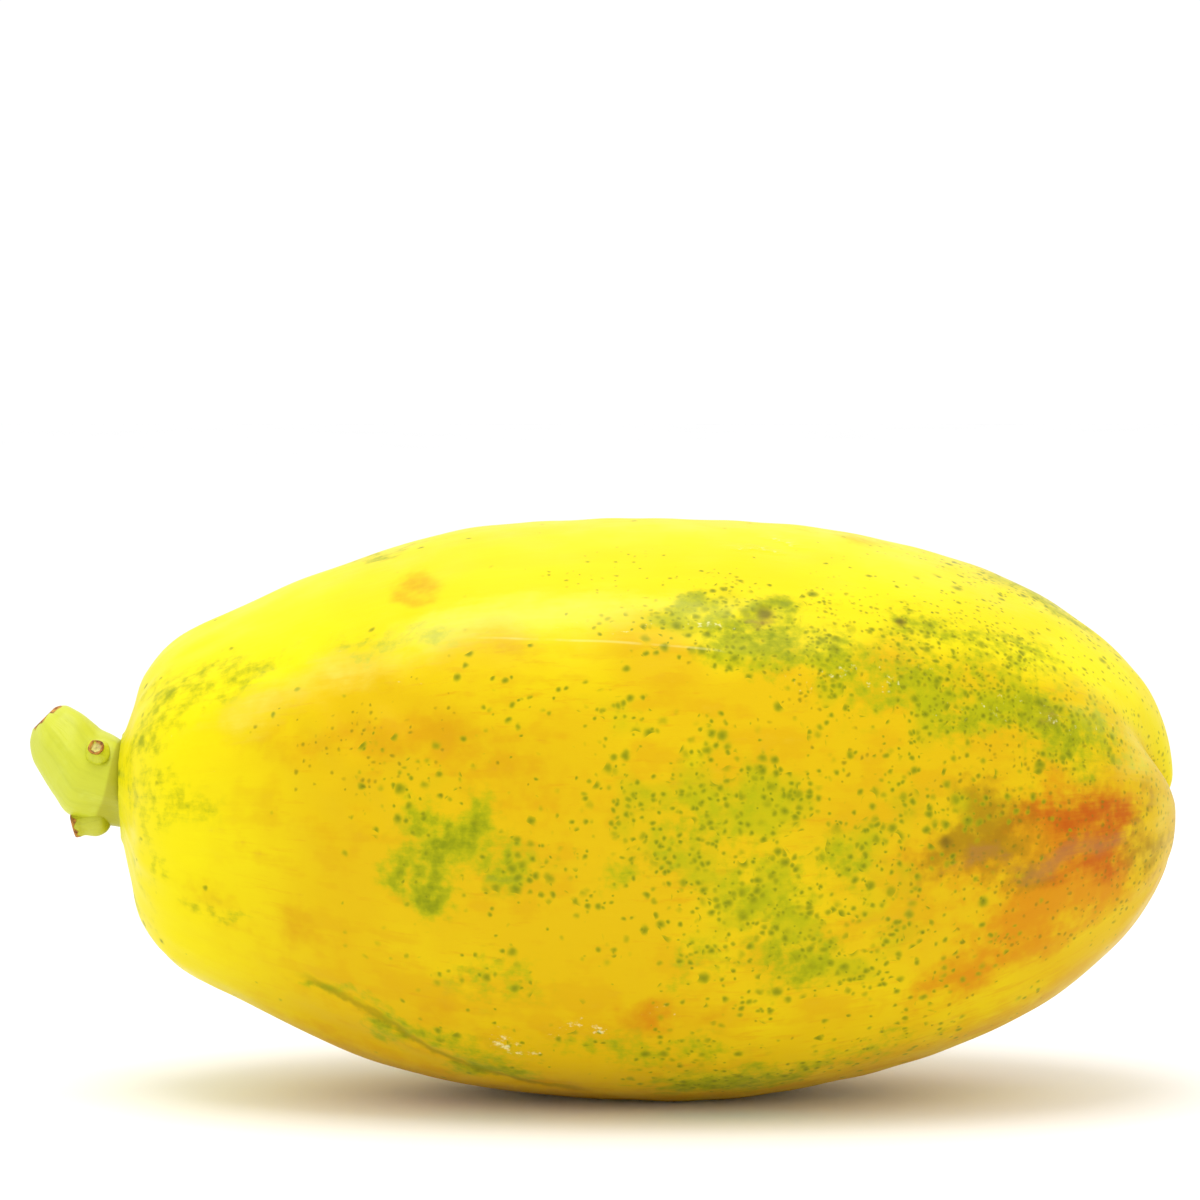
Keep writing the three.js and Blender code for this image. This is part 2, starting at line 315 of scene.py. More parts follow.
# %% Grid to closed mesh
def closed_surface(name, points, fields=None):
    """A mesh object from points[row, side, xyz] in mm. The first and last rows are each gathered to
    one pole. fields are values per point, [row, side] or [row, side, xyz], kept as attributes."""
    rows, sides = points.shape[:2]

    def gather(values):
        ring = values[1:-1].reshape(-1, *values.shape[2:])
        return np.concatenate([values[:1].mean(1), ring, values[-1:].mean(1)])

    ring = 1 + np.arange(rows - 2)[:, None] * sides + np.arange(sides)[None, :]
    after = np.roll(ring, -1, axis=1)
    quads = np.stack([ring[:-1], ring[1:], after[1:], after[:-1]], -1).reshape(-1, 4)
    last = 1 + (rows - 2) * sides
    start = np.stack([np.zeros(sides, int), ring[0], after[0]], -1)
    end = np.stack([np.full(sides, last), after[-1], ring[-1]], -1)
    verts = gather(points) * MM
    corners = verts[np.concatenate([quads[:, :3], quads[:, [0, 2, 3]], start, end])]
    volume = np.einsum("ij,ij->", corners[:, 0], np.cross(corners[:, 1], corners[:, 2])) / 6
    flip = -1 if volume < 0 else 1
    faces = [f[::flip] for f in quads.tolist() + start.tolist() + end.tolist()]
    mesh = bpy.data.meshes.new(name)
    mesh.from_pydata(verts.tolist(), [], faces)
    mesh.polygons.foreach_set("use_smooth", np.ones(len(faces), bool))
    for key, values in (fields or {}).items():
        whole = points.shape if np.ndim(values) == 3 else points.shape[:2]
        values = gather(np.broadcast_to(values, whole))
        kind, slot = ("FLOAT_VECTOR", "vector") if values.ndim == 2 else ("FLOAT", "value")
        layer = mesh.attributes.new(key, kind, "POINT")
        layer.data.foreach_set(slot, np.ascontiguousarray(values, np.float32).ravel())
    made = bpy.data.objects.new(name, mesh)
    bpy.context.scene.collection.objects.link(made)
    print(f"{name}: {len(faces)} faces, volume {abs(volume) * 1e6:.1f} cm3")
    return made


# %% [markdown]
# ## Where the skin is coloured
#
# A ripening papaya turns from green to yellow unevenly. Green stays longest in freckles and in soft
# clouds round them, the side that had the sun gets an orange blush, and pressed or scuffed skin goes
# ochre and brown. Each kind of marking is a list of soft patches: station and angle of the middle,
# half-length along and half-width round the fruit in mm, and strength. They only say how much of a
# marking there is; its own pattern comes from the material.

# %% Patch lists: green markings
FRECKLES = [  # spots of 1 to 2 mm
    (151, -2, 30, 20, 0.8), (133, 2, 12, 9, 0.55), (148, 8, 14, 8, 0.65), (161, -26, 20, 10, 0.75),
    (135, -25, 14, 8, 0.45), (179, -4, 18, 18, 0.55), (105, -4, 20, 11, 0.4), (119, 27, 26, 9, 0.35),
    (130, 18, 20, 10, 0.3), (73, 12, 14, 8, 0.35), (84, -30, 12, 10, 0.2), (120, -46, 28, 6, 0.4),
    (151, -57, 26, 8, 0.45), (179, -51, 24, 9, 0.35), (135, 45, 16, 7, 0.5), (152, 41, 18, 9, 0.8),
    (172, 34, 20, 9, 0.7), (209, 31, 12, 8, 0.8), (219, 28, 10, 6, 0.7), (188, 27, 14, 8, 0.6),
    (200, 8, 14, 10, 0.4), (190, -28, 16, 9, 0.4), (192, 48, 16, 6, 0.5),
]
PORES = [  # the finest dots
    (150, 46, 18, 8, 0.8), (178, 49, 30, 12, 1.0), (203, 46, 22, 12, 1.0), (182, 36, 26, 8, 0.7),
    (237, 45, 12, 12, 0.6), (236, 20, 12, 14, 0.7), (208, 7, 14, 7, 1.0), (232, -30, 14, 12, 0.6),
    (241, -6, 8, 14, 0.8), (199, -10, 12, 10, 0.5), (64, 20, 16, 10, 0.7), (122, 60, 18, 8, 0.35),
    (160, 30, 20, 10, 0.4),
    (209, 29, 20, 14, 0.8), (216, -12, 24, 20, 0.6), (224, 12, 12, 8, 0.5), (179, -51, 24, 10, 0.3),
]
GREEN_CLOUDS = [  # soft green under and between the freckles
    (79, -1, 10, 10, 0.95), (75, -9, 7, 6, 0.85), (86, 3, 6, 7, 0.8), (97, -6, 6, 5, 0.35),
    (148, 8, 12, 6, 0.35), (133, 2, 9, 8, 0.35), (154, -12, 10, 8, 0.75), (160, -26, 10, 7, 0.8),
    (143, 0, 9, 6, 0.35), (135, -25, 7, 5, 0.45), (119, -5, 6, 5, 0.5), (172, -4, 9, 7, 0.6),
    (135, 46, 10, 4, 0.7), (152, 40, 13, 6, 0.9), (144, 46, 12, 4, 0.8), (166, 36, 12, 4, 0.7),
    (180, 31, 10, 4, 0.55), (209, 30, 11, 7, 0.8), (220, 27, 10, 6, 0.8), (194, 28, 9, 4, 0.5),
    (232, 22, 9, 7, 0.5), (203, 47, 14, 6, 0.4), (186, 50, 10, 4, 0.4), (153, 50, 5, 2.5, 0.8),
    (120, -46, 24, 4, 0.5), (151, -57, 20, 6, 0.65), (140, -61, 18, 6, 0.55), (179, -52, 18, 6, 0.3),
    (26, -28, 10, 3, 0.35), (51, -44, 12, 2, 0.5), (68, -47, 12, 3, 0.6), (80, -51, 10, 3, 0.6),
    (89, -57, 13, 4, 0.8), (19, 48, 11, 9, 0.32), (10, 37, 5, 8, 0.36), (12, 13, 6, 8, 0.3),
    (30, 44, 12, 7, 0.3), (20, 8, 8, 5, 0.22), (7, -10, 4, 14, 0.25), (8, -60, 5, 14, 0.25),
    (64, 45, 12, 4, 0.45),
    (73, 42, 8, 3, 0.45), (60, 88, 10, 3, 0.45), (90, -30, 12, 8, 0.3), (190, 36, 36, 14, 0.25),
]

# %% Patch lists: warm markings
BLUSH = [  # orange
    (223, -3, 17, 12, 0.9), (219, -23, 16, 10, 0.95), (230, -22, 9, 7, 0.7), (202, -36, 14, 8, 0.8),
    (206, -6, 12, 8, 0.6), (192, -4, 8, 5, 0.4), (126, -37, 6, 5, 0.6),
]
REDDEST = [  # brick red, inside the blush
    (229, 2, 9, 5.5, 1.0), (236, -1, 6, 4, 0.9), (226, -19, 7, 3, 0.85), (235, -14, 5, 4, 0.7),
    (219, 3, 7, 4, 0.6), (228, -9, 9, 4, 0.7), (208, 0, 7, 2, 0.5),
]
OLIVE = [  # where the blush turns olive brown
    (205, -2, 12, 8, 0.95), (196, -6, 9, 5, 0.8), (203, 7, 9, 5, 0.6), (214, -13, 8, 4, 0.7),
    (243, -6, 4, 8, 0.45), (242, -22, 5, 8, 0.45),
]
OCHRE_AND_SHADE = [  # bruised and overripe places, and painted shade along the underside
    (71, 64, 4, 6, 0.8), (69.6, 57, 3, 3, 0.7), (50, 22, 10, 4, 0.55), (75, 22, 10, 6, 0.7),
    (69, 29, 8, 5, 0.5), (62, 20, 16, 6, 0.45), (105, 8, 26, 12, 0.35), (95, 16, 16, 9, 0.3),
    (45, -30, 7, 5, 0.6), (44, -26, 4, 4, 0.45), (126, -36, 6, 4.5, 1.0), (142, -34, 3, 2.5, 0.8),
    # the long patches at -64 to -72 degrees are painted shade, darker along the underside
    (82, -42, 22, 6, 0.45), (40, 0, 16, 12, 0.2), (24, -25, 11, 7, 0.35), (175, -64, 40, 10, 0.45),
    (218, -66, 18, 10, 0.5), (188, -22, 16, 10, 0.3), (110, -72, 60, 13, 0.7), (70, -64, 30, 6, 0.2),
]

# %% Patch lists: rubbed and pressed skin
SCUFFS = [  # rubbed, and dried to a pinkish brown film
    (216, -13.5, 7, 4, 0.8), (224, -10.5, 8, 3.4, 0.8), (234, -9, 8, 3.4, 0.8), (205, -8, 9, 3, 0.6),
    (152, 47, 6, 2, 0.7), (219, 30, 6, 4, 0.4), (8, -66, 3, 12, 0.4), (243, 0, 4, 5, 0.35),
]
PAINTED_SHEEN = [  # painted sheen: paler, whitish lemon where the waxy skin catches the light
    (80, 45, 20, 7, 0.9), (104, 48, 26, 8, 0.8), (56, 38, 16, 6, 0.7), (132, 48, 22, 6, 0.5),
    (36, 32, 12, 5, 0.5), (240, 26, 7, 8, 0.8), (228, 38, 12, 8, 0.5), (246, -4, 3, 8, 0.5),
    (4, -40, 4, 20, 0.6),
]
WRINKLES_AND_GLINTS = [  # pressed places with fine wrinkles, and painted glints there as whitish specks
    (114, 42, 26, 1.4, 0.9), (94, -45, 7, 3, 1.0), (110, -41, 8, 4, 1.0), (127, -38, 6, 2.5, 1.0),
    (143, -35, 6, 2, 0.6), (140, 43, 10, 3, 0.8), (172, 34, 16, 5, 0.6), (203, 27, 12, 5, 0.6),
    (66, 34, 14, 5, 0.5), (18, 30, 10, 14, 0.4), (149, 69, 5, 2, 1.1), (158, 78, 5, 2, 1.1),
    (219, 28, 9, 5, 0.7), (180, 32, 24, 10, 0.2),
    (200, 55, 30, 14, 0.35), (236, 30, 12, 20, 0.4), (48, 50, 16, 10, 0.35),
]

# %% [markdown]
# The far side and the top are not seen, but the object is turned round later, so they get the same
# kinds of patches. Their places are drawn from a seeded generator, which gives the same fruit each
# time. The blush has its own few patches there, because it comes in one or two broad areas.

# %% Patches on the far side
HIDDEN_SIDE = (78, 282)  # angles


def scattered(count, stations, lengths, widths, strengths, seed):
    """A list of patches over the far side, each number drawn evenly from its range."""
    rng = np.random.default_rng(seed)
    ranges = [stations, HIDDEN_SIDE, lengths, widths, strengths]
    return [tuple(rng.uniform(*r) for r in ranges) for _ in range(count)]


FRECKLES += scattered(12, (95, 225), (12, 28), (8, 16), (0.3, 0.75), 11)
PORES += scattered(8, (150, 240), (14, 30), (10, 18), (0.4, 0.9), 12)
GREEN_CLOUDS += scattered(22, (10, 225), (5, 14), (3, 7), (0.3, 0.75), 13)
OCHRE_AND_SHADE += scattered(14, (25, 225), (4, 20), (3, 9), (0.3, 0.7), 14)
BLUSH += [(226, 150, 14, 10, 0.7), (214, 160, 14, 8, 0.55), (206, 250, 16, 10, 0.5)]
REDDEST += [(228, 152, 9, 5, 0.7)]
SCUFFS += [(120, 190, 10, 3, 0.6), (220, 152, 10, 3, 0.6)]

# %% [markdown]
# The patches of each kind are joined to one value at each point of the surface. The mesh keeps the
# values as attributes, and the material reads them.


# %% Patches joined
def marking(patches, bend, seed):
    """How much of a marking there is at each point, 0 to 1. Each patch is exp(-along^2 - across^2)
    and they are joined as 1 - product of (1 - strength x patch). Random waves shift the point
    first, so that no patch keeps a plain oval edge."""
    x = station + bend * waves(station, angle, 16, 16, 18, 50 + seed)
    shift = bend * waves(station, angle, 16, 16, 18, 70 + seed)
    left = 1
    for at, towards, length, width, strength in patches:
        across = (np.radians(turn(towards, angle)) * radius + shift) / width
        left = left * (1 - strength * np.exp(-(((x - at) / length) ** 2) - across**2))
    return 1 - left


# %% The fruit's mesh and its attributes
# ripe is low on the neck, which ripens last. The upper side, above the front ridge, is painted light:
# it is made lemon as the side the lamp lights. scar and collar are the pit at the blossom end and the
# skin round the stalk. round is for the streaks.
upper_side = np.abs(turn(97, angle + 3 * waves(station, angle, 9, 20, 12, 91)))
blossom_half = station > FRUIT_LENGTH / 2
fields = {
    "freckles": marking(FRECKLES, 3, 1),
    "pores": marking(PORES, 4, 2),
    "green": marking(GREEN_CLOUDS, 2, 3),
    "blush": marking(BLUSH, 1.5, 4),
    "reddest": marking(REDDEST, 2, 4),
    "olive": marking(OLIVE, 1.5, 8),
    "ochre_and_shade": marking(OCHRE_AND_SHADE, 2, 5),
    "scuff": marking(SCUFFS, 1.5, 6),
    "wrinkle_and_glint": marking(WRINKLES_AND_GLINTS, 2, 7),
    "painted_sheen": marking(PAINTED_SHEEN, 1, 9),
    "ripe": fade(station, 8, 60) + 0 * angle,
    "painted_light_upper": fade(-upper_side, -64, -50),
    "scar": np.where(blossom_half, 1 - fade(radius, 2.0, 4.6), 0) + 0 * angle,
    "collar": np.where(blossom_half, 0, 1 - fade(radius, 11, 19)) + 0 * angle,
    "round": np.stack(np.broadcast_arrays(np.cos(turned), np.sin(turned), station / 60), axis=-1),
}
fields["crest"], fields["crest_there"] = from_line(CREST, station, radius, angle)
fields["pleat"], fields["pleat_there"] = from_line(PLEAT, station, radius, angle)
fruit = closed_surface("fruit_skin", fruit_points, fields)
for key, values in fields.items():
    print(f"  {key}: mean {np.mean(values):.2f}, most {np.max(values):.2f}")

# %% [markdown]
# ## Making materials
#
# A material is a small net of nodes. Two helpers keep it readable: one turns the sRGB hex colour
# that one picks into the linear numbers that Blender renders with, and the other adds one
# node, sets what it is told and links what it is given.


# %% Material helpers
def linear(code):
    """sRGB hex to linear RGBA: c/12.92 below 0.04045, else ((c + 0.055) / 1.055)^2.4."""
    parts = [int(code[i:i + 2], 16) / 255 for i in (1, 3, 5)]
    return *(c / 12.92 if c <= 0.04045 else ((c + 0.055) / 1.055) ** 2.4 for c in parts), 1.0


def add(tree, kind, inputs=(), give=None, **settings):
    """Adds a node. settings are its properties. inputs maps a socket's name, identifier or number to
    a value or to another node's output. Returns the output called give, or the first one."""
    node = tree.nodes.new(kind)
    for name, value in settings.items():
        setattr(node, name, value)
    by_key = {s.name: s for s in reversed(node.inputs)} | {s.identifier: s for s in node.inputs}
    for key, value in dict(inputs).items():
        socket = node.inputs[key] if isinstance(key, int) else by_key[key]
        if isinstance(value, bpy.types.NodeSocket):
            tree.links.new(value, socket)
        else:
            socket.default_value = value
    if not node.outputs:
        return node
    return {s.identifier: s for s in node.outputs}[give] if give else node.outputs[0]


def fresh(name):
    """An empty material net."""
    material = bpy.data.materials.new(name)
    material.use_nodes = True
    material.node_tree.nodes.clear()
    return material, material.node_tree


# %% [markdown]
# Three ways of putting nodes together come back again and again: blending one colour over another
# by a mask, cutting a soft-edged mask out of a value, and a noise of a given grain.

# %% Net pieces
def over(tree, below, above, mask):
    """The colour above laid on the colour below where mask is 1."""
    return add(tree, "ShaderNodeMix", {"Factor_Float": mask, "A_Color": below, "B_Color": above},
               "Result_Color", data_type="RGBA", blend_type="MIX")


def cut(tree, value, start, end, low=0.0, high=1.0):
    """A smooth step from low to high as value goes from start to end."""
    return add(tree, "ShaderNodeMapRange",
               {"Value": value, "From Min": start, "From Max": end, "To Min": low, "To Max": high},
               "Result", interpolation_type="SMOOTHSTEP")


def maths(tree, operation, a, b=0.0, clamp=False):
    """One sum on one or two values."""
    return add(tree, "ShaderNodeMath", {0: a, 1: b}, operation=operation, use_clamp=clamp)


def around_zero(tree, value, times):
    """A noise of 0 to 1 made to swing by times / 2 about zero."""
    return maths(tree, "MULTIPLY", maths(tree, "SUBTRACT", value, 0.5), times)


def grain(tree, place, size, detail, roughness=0.5):
    """Noise whose blobs are about size mm across; place is in metres."""
    settings = {"Vector": place, "Scale": 0.5 / (size * MM), "Detail": detail, "Roughness": roughness}
    return add(tree, "ShaderNodeTexNoise", settings, "Fac")


# %% [markdown]
# ## Papaya skin
#
# The skin is thin, smooth and waxy, with a soft satin gloss. Its ground colour wanders between
# lemon and golden yellow. The green is what is left of the leaf green, seen through the yellow, so
# it stays a soft olive. Freckles come from a 3-D cell pattern: every cell holds one random point,
# a freckle is the part of the skin close to it, and each cell's own random number decides whether
# the freckle is there at all. In 3-D nothing stretches at the ends.

# %% Skin: places and masks
skin, net = fresh("papaya_skin")
place = add(net, "ShaderNodeTexCoord", give="Object")
mark = {key: add(net, "ShaderNodeAttribute", give="Fac", attribute_name=key)
        for key in fields if key != "round"}
around = add(net, "ShaderNodeAttribute", give="Vector", attribute_name="round")
# round runs once about the fruit per turn, and along it by 60 mm per unit: stretched blobs on it
# are streaks that gather at both ends
streak_place = add(net, "ShaderNodeMapping", {"Vector": around, "Scale": (1, 1, 0.16)},
                   vector_type="POINT")
streaks = add(net, "ShaderNodeTexNoise",
              {"Vector": streak_place, "Scale": 9.0, "Detail": 4.0, "Roughness": 0.6}, "Fac")
fine_streaks = add(net, "ShaderNodeTexNoise",
                   {"Vector": streak_place, "Scale": 34.0, "Detail": 4.0, "Roughness": 0.7}, "Fac")
wide = grain(net, place, 28, 3)
middle = grain(net, place, 6, 3, 0.6)
small = grain(net, place, 1.5, 3, 0.6)


def roughened(value, by_middle, by_small):
    """A mask plus two noises about zero, so that its cut edge is broken up at both grains."""
    return maths(net, "ADD", maths(net, "ADD", value, around_zero(net, middle, by_middle)),
                 around_zero(net, small, by_small))


def near(key, mask):
    """The mask, taken down to 0 where the marking called key has no patch at all."""
    return maths(net, "MULTIPLY", mask, cut(net, mark[key], 0.02, 0.22))


# %% [markdown]
# The ground colour comes first. Gold covers most of the fruit. The neck, which ripens last, and
# patches that broad noise picks stay lemon. The upper side beyond the ridge is also made lemon, as
# painted light on the side the lamp lights. Bruised areas are amber, and the same amber along the
# underside is painted shade. The golden part also has a mottling and fine lengthwise threads a shade
# deeper, which give it a faint fibrous look.

# %% Skin: ground colour
LEMON, GOLD, AMBER = linear("#E9DA00"), linear("#D8B300"), linear("#CC9200")
lemon = maths(net, "SUBTRACT", 1.0, mark["ripe"])
lemon = maths(net, "ADD", lemon, cut(net, wide, 0.5, 0.72, 0.0, 0.4))
# painted light: the upper side above the ridge is pushed to lemon as the lit side
lemon = maths(net, "ADD", lemon, maths(net, "MULTIPLY", mark["painted_light_upper"], 0.8))
lemon = maths(net, "ADD", lemon, around_zero(net, streaks, 0.4), clamp=True)
colour = over(net, GOLD, LEMON, lemon)
# amber: bruises, and painted shade along the underside
bruised_and_shaded = maths(net, "ADD", roughened(mark["ochre_and_shade"], 0.7, 0.5), around_zero(net, streaks, 0.4))
bruised_and_shaded = near("ochre_and_shade", cut(net, bruised_and_shaded, 0.05, 1.1))
colour = over(net, colour, AMBER, maths(net, "MULTIPLY", bruised_and_shaded, 0.8))
golden = maths(net, "SUBTRACT", mark["ripe"], mark["painted_light_upper"], clamp=True)
mottle = maths(net, "ADD", streaks, around_zero(net, middle, 0.9))
mottle = cut(net, mottle, 0.47, 0.68, 0.0, 0.42)
colour = over(net, colour, linear("#D09A00"), maths(net, "MULTIPLY", mottle, golden))
threads = maths(net, "ADD", fine_streaks, around_zero(net, wide, 0.5))
threads = cut(net, threads, 0.56, 0.76, 0.0, 0.36)
colour = over(net, colour, linear("#CE8A00"), maths(net, "MULTIPLY", threads, golden))

# %% [markdown]
# The blush is orange to brick red, strongest near the blossom end, and fades out in faint streaks
# along the fruit. Its skin is a little brownish where it was rubbed.

# %% Skin: blush
blush = maths(net, "ADD", roughened(mark["blush"], 0.8, 0.6), around_zero(net, streaks, 0.3))
colour = over(net, colour, linear("#CE8200"), near("blush", cut(net, blush, 0.0, 0.9, 0.0, 0.85)))
red = maths(net, "ADD", roughened(mark["reddest"], 0.9, 0.9), around_zero(net, fine_streaks, 0.7))
colour = over(net, colour, linear("#BA5800"), near("reddest", cut(net, red, -0.2, 1.15)))
dull = roughened(mark["olive"], 1.0, 1.2)
colour = over(net, colour, linear("#9C7A02"), near("olive", cut(net, dull, 0.0, 1.0, 0.0, 0.8)))

# %% [markdown]
# Green clouds sit under the freckles. Their edge is broken up by noise of about 6 mm and again by
# noise of 1.5 mm, so that they look stippled and not sprayed on.

# %% Skin: green clouds
clumps = around_zero(net, grain(net, place, 7, 2, 0.6), 2.4)
cloud = roughened(mark["green"], 0.8, 1.5)
cloud = maths(net, "ADD", cloud, around_zero(net, fine_streaks, 0.6))
cloud = maths(net, "ADD", cloud, maths(net, "MULTIPLY", clumps, 0.25))
colour = over(net, colour, linear("#AAAC00"), near("green", cut(net, cloud, 0.05, 0.8, 0.0, 0.88)))
colour = over(net, colour, linear("#788400"), near("green", cut(net, cloud, 0.48, 1.3, 0.0, 0.9)))

# %% [markdown]
# For the freckles the place is first shaken by a noise of the size of a freckle, which makes them
# irregular and lets neighbours run together. Each layer has its own cell size, and the soft edge
# is wide, because the pigment lies under the wax.

# %% Skin: freckles and pores
SHAKE = 1.3 * MM
wobble = {"Vector": place, "Scale": 0.5 / SHAKE, "Detail": 1.0}
wobble = add(net, "ShaderNodeTexNoise", wobble, "Color")
wobble = add(net, "ShaderNodeVectorMath", {0: wobble, 1: (0.5, 0.5, 0.5)}, operation="SUBTRACT")
shaken = add(net, "ShaderNodeVectorMath", {0: wobble, 1: (SHAKE,) * 3, 2: place},
             operation="MULTIPLY_ADD")
ABSENT = 9.0  # taken off a dot that isn't there, to put it below every cut


def dots(size, reach, density, shift):
    """How deep inside a round dot a point is: 0 on its rim, 1 in its middle, below 0 outside. Dots
    sit in cells of size mm, only in the share of them that density gives, and each has its own
    radius, up to reach cells."""
    moved = add(net, "ShaderNodeVectorMath", {0: shaken, 1: (shift, 0, 0)}, operation="ADD")
    cells = {"Vector": moved, "Scale": 1 / (size * MM), "Randomness": 0.8}
    distance = add(net, "ShaderNodeTexVoronoi", cells, "Distance")
    chance = distance.node.outputs["Color"]
    picked = add(net, "ShaderNodeSeparateColor", {"Color": chance}, "Red")
    own = add(net, "ShaderNodeSeparateColor", {"Color": chance}, "Green")
    radius = cut(net, own, 0.0, 1.0, 0.5 * reach, reach)
    depth = maths(net, "SUBTRACT", 1.0, maths(net, "DIVIDE", distance, radius))
    here = maths(net, "LESS_THAN", picked, density)
    missing = maths(net, "SUBTRACT", 1.0, here)
    return maths(net, "SUBTRACT", depth, maths(net, "MULTIPLY", missing, ABSENT))


# %% Skin: layers of freckles
LAYERS = ((4.3, 0.0), (3.6, 0.17), (3.1, 0.43), (2.6, 0.61), (2.1, 0.57))  # cell in mm, shift in m
crowding = maths(net, "ADD", 1.1, maths(net, "MULTIPLY", clumps, 3.0))
spread = maths(net, "MULTIPLY", mark["freckles"], crowding)
depth = dots(5.5, 0.14, 0.3, 0.31)  # a few small ones all over
for size, shift in LAYERS:
    depth = maths(net, "MAXIMUM", depth, dots(size, 0.29, spread, shift))
colour = over(net, colour, linear("#B0AE00"), cut(net, spread, 0.35, 1.5, 0.0, 0.7))
colour = over(net, colour, linear("#A09E00"), cut(net, depth, -0.65, 0.5, 0.0, 0.75))
colour = over(net, colour, linear("#6A7604"), cut(net, depth, -0.25, 1.1, 0.0, 0.75))
thick = maths(net, "MULTIPLY", mark["pores"], maths(net, "ADD", 0.75, clumps))
pore = cut(net, dots(1.4, 0.36, thick, 0.83), -0.6, 0.8)
colour = over(net, colour, linear("#707204"), maths(net, "MULTIPLY", pore, 0.65))
LONE_SPOTS = [((64.5, -59.5, 66), 1.3), ((23.5, -47.5, 117.5), 1.6), ((54.5, -43, 115), 1.2)]
for middle_mm, size in LONE_SPOTS:  # brown, about size mm in radius
    away = add(net, "ShaderNodeVectorMath", {0: shaken, 1: tuple(c * MM for c in middle_mm)},
               "Value", operation="DISTANCE")
    spot = cut(net, away, 2 * size * MM, 0.3 * size * MM, 0.0, 0.8)
    colour = over(net, colour, linear("#5A4C10"), spot)

# %% [markdown]
# Scuffed skin has dried to a pinkish brown film with fine streaks. Pressed skin gets whitish specks
# that are painted glints, and a painted sheen makes the colour hazy and paler where the waxy skin
# catches the light.

# %% Skin: scuffs, painted glints and painted sheen
scuffed = maths(net, "ADD", roughened(mark["scuff"], 0.5, 0.7), around_zero(net, fine_streaks, 0.8))
scuffed = cut(net, scuffed, 0.2, 1.1)
colour = over(net, colour, linear("#A8713C"), maths(net, "MULTIPLY", scuffed, 0.7))
speck = grain(net, place, 0.9, 2, 0.7)
# painted glints: whitish specks in the pressed places, where the wrinkles catch the light
painted_glints = maths(net, "ADD", mark["wrinkle_and_glint"], around_zero(net, fine_streaks, 1.2))
painted_glints = maths(net, "ADD", painted_glints, around_zero(net, speck, 2.6))
colour = over(net, colour, linear("#F4F0B8"), near("wrinkle_and_glint", cut(net, painted_glints, 0.9, 1.5, 0.0, 0.65)))
# painted sheen: a paler, whitish lemon laid where the light catches the wax
painted_sheen_mask = maths(net, "ADD", roughened(mark["painted_sheen"], 0.6, 0.3), around_zero(net, streaks, 0.6))
painted_sheen_mask = maths(net, "ADD", painted_sheen_mask, around_zero(net, fine_streaks, 0.5))
colour = over(net, colour, linear("#F2EE70"), cut(net, painted_sheen_mask, 0.1, 1.3, 0.0, 0.5))

# %% [markdown]
# Along the pinched crest of the ridge a thin pale line with gaps is a painted highlight, and the
# pleat low on the neck holds a dull green line that wavers. The blossom scar is a patch of brown cork
# in the pit between the lobes, and round the stalk the skin is greener.

# %% Skin: painted crest highlight, pleat, collar and scar
# painted highlight: a thin pale line with gaps along the pinched crest
crest = cut(net, maths(net, "ABSOLUTE", mark["crest"]), 0.5, 0.05)
crest = maths(net, "MULTIPLY", crest, mark["crest_there"])
crest = maths(net, "MULTIPLY", crest, cut(net, middle, 0.4, 0.6))
colour = over(net, colour, linear("#F2EE9A"), maths(net, "MULTIPLY", crest, 0.25))
pleat = maths(net, "ADD", mark["pleat"], around_zero(net, middle, 5.0))
pleat = maths(net, "ABSOLUTE", maths(net, "ADD", pleat, around_zero(net, small, 2.5)))
pleat = maths(net, "MULTIPLY", cut(net, pleat, 2.2, 0.1), mark["pleat_there"])
colour = over(net, colour, linear("#7A7200"), maths(net, "MULTIPLY", pleat, 0.5))
colour = over(net, colour, linear("#B8C61E"), maths(net, "MULTIPLY", mark["collar"], 0.3))
corky = cut(net, maths(net, "ADD", mark["scar"], maths(net, "MULTIPLY", small, 0.4)), 0.45, 0.95)
colour = over(net, colour, linear("#5B3A1A"), corky)

# %% [markdown]
# The relief that is too fine for the mesh is a bump: shallow skin cells of about half a millimetre,
# pores that sink in, and small wrinkles in pressed places that catch the light as whitish specks.
# Bump heights are real heights in millimetres.

# %% Skin: gloss and bump
fine_cells = grain(net, place, 0.5, 2)
wrinkles = maths(net, "MULTIPLY", mark["wrinkle_and_glint"], grain(net, place, 1.1, 3, 0.6))
lift = maths(net, "MULTIPLY", fine_cells, 0.012)
lift = maths(net, "ADD", lift, maths(net, "MULTIPLY", small, 0.02))
lift = maths(net, "ADD", lift, maths(net, "MULTIPLY", wrinkles, 0.4))
lift = maths(net, "SUBTRACT", lift, maths(net, "MULTIPLY", pore, 0.02))
lift = maths(net, "ADD", lift, maths(net, "MULTIPLY", streaks, 0.12))
normal = add(net, "ShaderNodeBump", {"Strength": 1.0, "Distance": MM, "Height": lift})
gloss = cut(net, middle, 0.3, 0.7, 0.36, 0.46)
gloss = maths(net, "ADD", gloss, maths(net, "MULTIPLY", scuffed, 0.15))
shader = add(net, "ShaderNodeBsdfPrincipled", {
    "Base Color": colour, "Roughness": gloss, "Normal": normal,
    "IOR": 1.45, "Specular IOR Level": 0.12})
add(net, "ShaderNodeOutputMaterial", {"Surface": shader})
fruit.data.materials.append(skin)
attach(fruit, "root")
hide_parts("fruit")

# %% [markdown]
# ## The stalk
#
# The fruit hung on a stalk as thick as a thumb. It was cut a short way off, and the cut dried: the
# end shrank, went brown and sank a little. It is a row of rings. Each has a place, a radius and a
# lean, and all of those run smoothly from ring to ring. The rings stand upright in the fruit's
# hollow and lean back more and more towards the cut, which gives the knuckle its lopsided shape.

